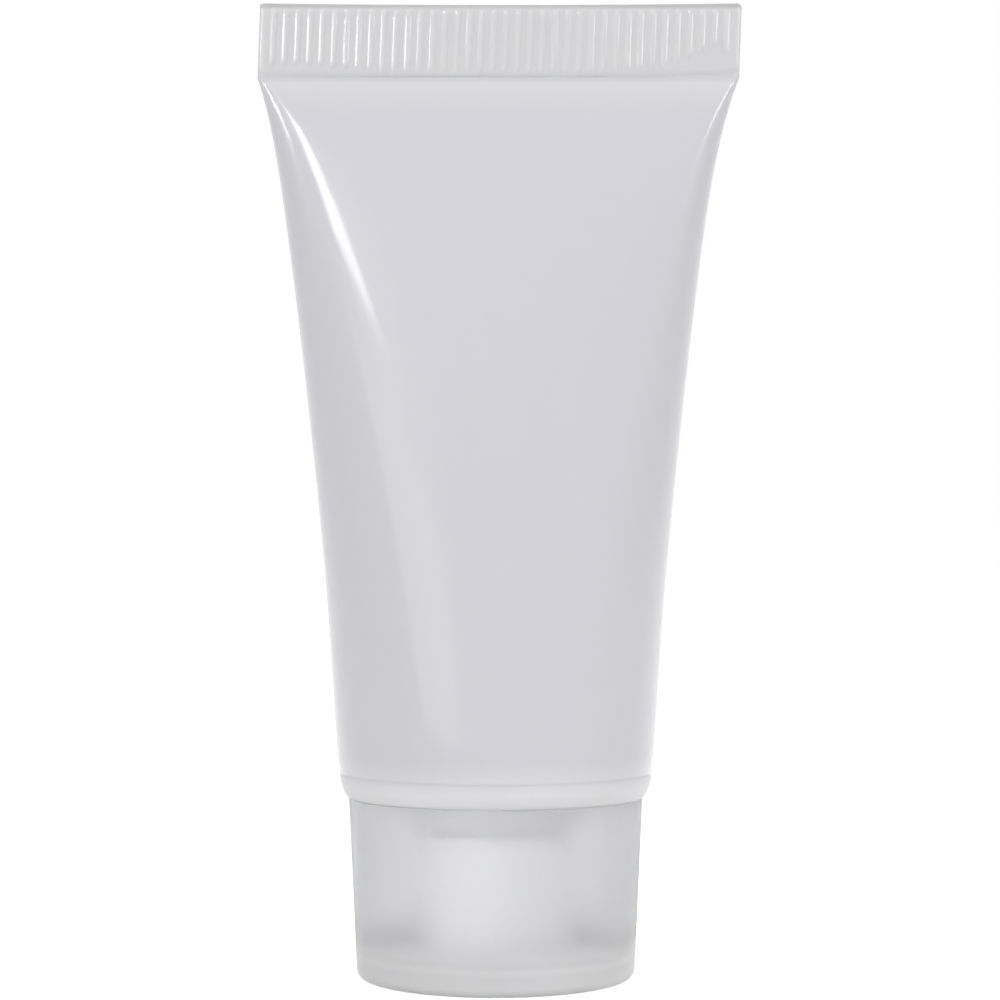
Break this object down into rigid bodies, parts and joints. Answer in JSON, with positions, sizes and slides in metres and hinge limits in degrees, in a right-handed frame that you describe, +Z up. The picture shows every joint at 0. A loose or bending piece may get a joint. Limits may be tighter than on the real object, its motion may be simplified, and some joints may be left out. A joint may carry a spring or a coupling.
{
  "type": "skin balm tube",
  "caption": "Small frosted soft squeeze tube, flat ribbed heat seal at the top, round at the foot, standing on a plain tapered screw cap that turns and lifts off.",
  "frame": {"origin": "centre of the cap's flat closed end, on the surface the tube stands on", "axes": "+Z up from the cap to the flat seal, +X along the flat seal, the pictured side faces -Y"},
  "size_m": [0.0294, 0.019, 0.0594],
  "materials": {
    "cap": "frosted natural polypropylene",
    "liner": "white foamed sealing disc",
    "head": "natural moulded polyethylene",
    "sleeve": "semi-gloss frosted soft polyethylene film",
    "balm": "soft off-white balm"
  },
  "bodies": {
    "cap": {"cap": "cap"},
    "liner": {"liner": "liner"},
    "tube": {"head": "head", "sleeve": "sleeve", "balm": "balm"}
  },
  "joints": [
    {"name": "tube_turn", "type": "hinge", "parent": "cap", "child": "liner", "pos_m": [0, 0, 0], "axis": [0, 0, 1], "range_deg": [0, 1710]},
    {"name": "tube_lift", "type": "slide", "parent": "liner", "child": "tube", "axis": [0, 0, 1], "range_m": [0, 0.0095]}
  ],
  "couplings": [
    {"joint": "tube_lift", "follows": "tube_turn", "m_per_rad": 0.00031831}
  ]
}
